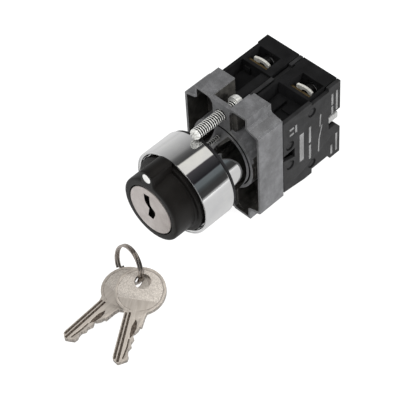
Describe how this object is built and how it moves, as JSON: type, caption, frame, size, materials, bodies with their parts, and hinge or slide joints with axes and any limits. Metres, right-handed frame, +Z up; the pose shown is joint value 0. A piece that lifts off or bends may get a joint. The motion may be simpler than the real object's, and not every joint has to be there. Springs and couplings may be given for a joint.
{
  "type": "selector key switch",
  "caption": "Key-operated selector switch for a panel hole, with chrome bezel, zinc collar, side-by-side contact blocks, and keys on a split ring.",
  "frame": {"origin": "centre of the overall box on the surface that the switch and its keys rest on", "axes": "+Z up, -Y towards the operator in front of the lock, +Y towards the contact blocks, +X to the operator's right"},
  "size_m": [0.0372, 0.1058, 0.0432],
  "materials": {
    "chrome": "mirror-bright chrome plating",
    "cast_zinc": "grey die-cast zinc alloy, tumbled",
    "zinc_plating": "bright zinc-plated steel",
    "lock_steel": "fine brushed steel face",
    "bright_steel": "bright hard-drawn steel",
    "spring_steel": "spring wire",
    "key_nickel": "pressed nickel silver",
    "contact_brass": "bright brass strip",
    "seal_rubber": "black nitrile rubber",
    "knob_plastic": "black fine-textured plastic",
    "block_plastic": "black glass-filled plastic",
    "white_plastic": "white plastic",
    "cam_plastic": "natural acetal"
  },
  "bodies": {
    "switch_body": {"bezel_ring": "chrome", "head_body": "chrome", "mounting_gasket": "seal_rubber", "shaft_seal": "seal_rubber", "mounting_collar": "cast_zinc", "left_housing": "block_plastic", "left_cover": "block_plastic", "left_return_spring": "spring_steel", "left_upper_terminal": "contact_brass", "left_lower_terminal": "contact_brass", "right_housing": "block_plastic", "right_cover": "block_plastic", "right_return_spring": "spring_steel", "right_upper_terminal": "contact_brass", "right_lower_terminal": "contact_brass"},
    "rotor": {"selector_knob": "knob_plastic", "pointer_dot": "white_plastic", "lock_plug": "lock_steel", "lock_circlip": "bright_steel", "cam_drum": "cam_plastic", "detent_spring": "spring_steel"},
    "detent": {"detent_pin": "bright_steel"},
    "screw_top": {"fixing_screw_top": "zinc_plating"},
    "screw_bottom": {"fixing_screw_bottom": "zinc_plating"},
    "wafer_1": {"lock_wafer_1": "contact_brass"},
    "wafer_2": {"lock_wafer_2": "contact_brass"},
    "wafer_3": {"lock_wafer_3": "contact_brass"},
    "wafer_4": {"lock_wafer_4": "contact_brass"},
    "wafer_5": {"lock_wafer_5": "contact_brass"},
    "left_contact": {"left_plunger": "white_plastic", "left_contact_bridge": "contact_brass"},
    "left_upper_clamp": {"left_upper_terminal_screw": "zinc_plating", "left_upper_wire_clamp": "zinc_plating"},
    "left_lower_clamp": {"left_lower_terminal_screw": "zinc_plating", "left_lower_wire_clamp": "zinc_plating"},
    "right_contact": {"right_plunger": "white_plastic", "right_contact_bridge": "contact_brass"},
    "right_upper_clamp": {"right_upper_terminal_screw": "zinc_plating", "right_upper_wire_clamp": "zinc_plating"},
    "right_lower_clamp": {"right_lower_terminal_screw": "zinc_plating", "right_lower_wire_clamp": "zinc_plating"},
    "key_set": {"key_ring": "bright_steel"},
    "front_key": {"key_front": "key_nickel"},
    "rear_key": {"key_rear": "key_nickel"}
  },
  "joints": [
    {"name": "rotor_turn", "type": "hinge", "parent": "switch_body", "child": "rotor", "pos_m": [-0.00364, 0.00728, 0.0216], "axis": [0, 1, 0], "range_deg": [-45, 45]},
    {"name": "detent_press", "type": "slide", "parent": "rotor", "child": "detent", "axis": [0, 0, 1], "range_m": [0, 0.0003], "stiffness_N_per_m": 800, "springref_m": -0.002, "deforming": ["detent_spring"]},
    {"name": "screw_top_drive", "type": "slide", "parent": "switch_body", "child": "screw_top", "axis": [0, -1, 0], "range_m": [-0.0018, 0.002]},
    {"name": "screw_bottom_drive", "type": "slide", "parent": "switch_body", "child": "screw_bottom", "axis": [0, -1, 0], "range_m": [-0.0018, 0.002]},
    {"name": "wafer_1_slide", "type": "slide", "parent": "rotor", "child": "wafer_1", "axis": [0, 0, 1], "range_m": [-0.0004, 0.0004]},
    {"name": "wafer_2_slide", "type": "slide", "parent": "rotor", "child": "wafer_2", "axis": [0, 0, 1], "range_m": [-0.0004, 0.0004]},
    {"name": "wafer_3_slide", "type": "slide", "parent": "rotor", "child": "wafer_3", "axis": [0, 0, 1], "range_m": [-0.0004, 0.0004]},
    {"name": "wafer_4_slide", "type": "slide", "parent": "rotor", "child": "wafer_4", "axis": [0, 0, 1], "range_m": [-0.0004, 0.0004]},
    {"name": "wafer_5_slide", "type": "slide", "parent": "rotor", "child": "wafer_5", "axis": [0, 0, 1], "range_m": [-0.0004, 0.0004]},
    {"name": "left_plunger_slide", "type": "slide", "parent": "switch_body", "child": "left_contact", "axis": [0, 1, 0], "range_m": [-0.00201, 0.00201], "deforming": ["left_return_spring"]},
    {"name": "left_upper_clamp_slide", "type": "slide", "parent": "switch_body", "child": "left_upper_clamp", "axis": [0, 1, 0], "range_m": [0, 0.0026]},
    {"name": "left_lower_clamp_slide", "type": "slide", "parent": "switch_body", "child": "left_lower_clamp", "axis": [0, 1, 0], "range_m": [0, 0.0026]},
    {"name": "right_plunger_slide", "type": "slide", "parent": "switch_body", "child": "right_contact", "axis": [0, 1, 0], "range_m": [-0.00201, 0.00201], "deforming": ["right_return_spring"]},
    {"name": "right_upper_clamp_slide", "type": "slide", "parent": "switch_body", "child": "right_upper_clamp", "axis": [0, 1, 0], "range_m": [0, 0.0026]},
    {"name": "right_lower_clamp_slide", "type": "slide", "parent": "switch_body", "child": "right_lower_clamp", "axis": [0, 1, 0], "range_m": [0, 0.0026]},
    {"name": "key_set_lift", "type": "slide", "parent": "switch_body", "child": "key_set", "axis": [0, 0, 1], "range_m": [0, 0.06]},
    {"name": "key_front_swivel", "type": "hinge", "parent": "key_set", "child": "front_key", "pos_m": [0.00455, -0.02559, 0.00641], "axis": [0.1098, -0.1806, 0.9774], "range_deg": [-6, 10]},
    {"name": "key_rear_swivel", "type": "hinge", "parent": "key_set", "child": "rear_key", "pos_m": [0.00116, -0.0262, 0.00387], "axis": [-0.0016, -0.1149, 0.9934], "range_deg": [-8, 6]}
  ],
  "couplings": [
    {"joint": "left_plunger_slide", "follows": "rotor_turn", "m_per_rad": -0.0025465},
    {"joint": "right_plunger_slide", "follows": "rotor_turn", "m_per_rad": 0.0025465}
  ]
}
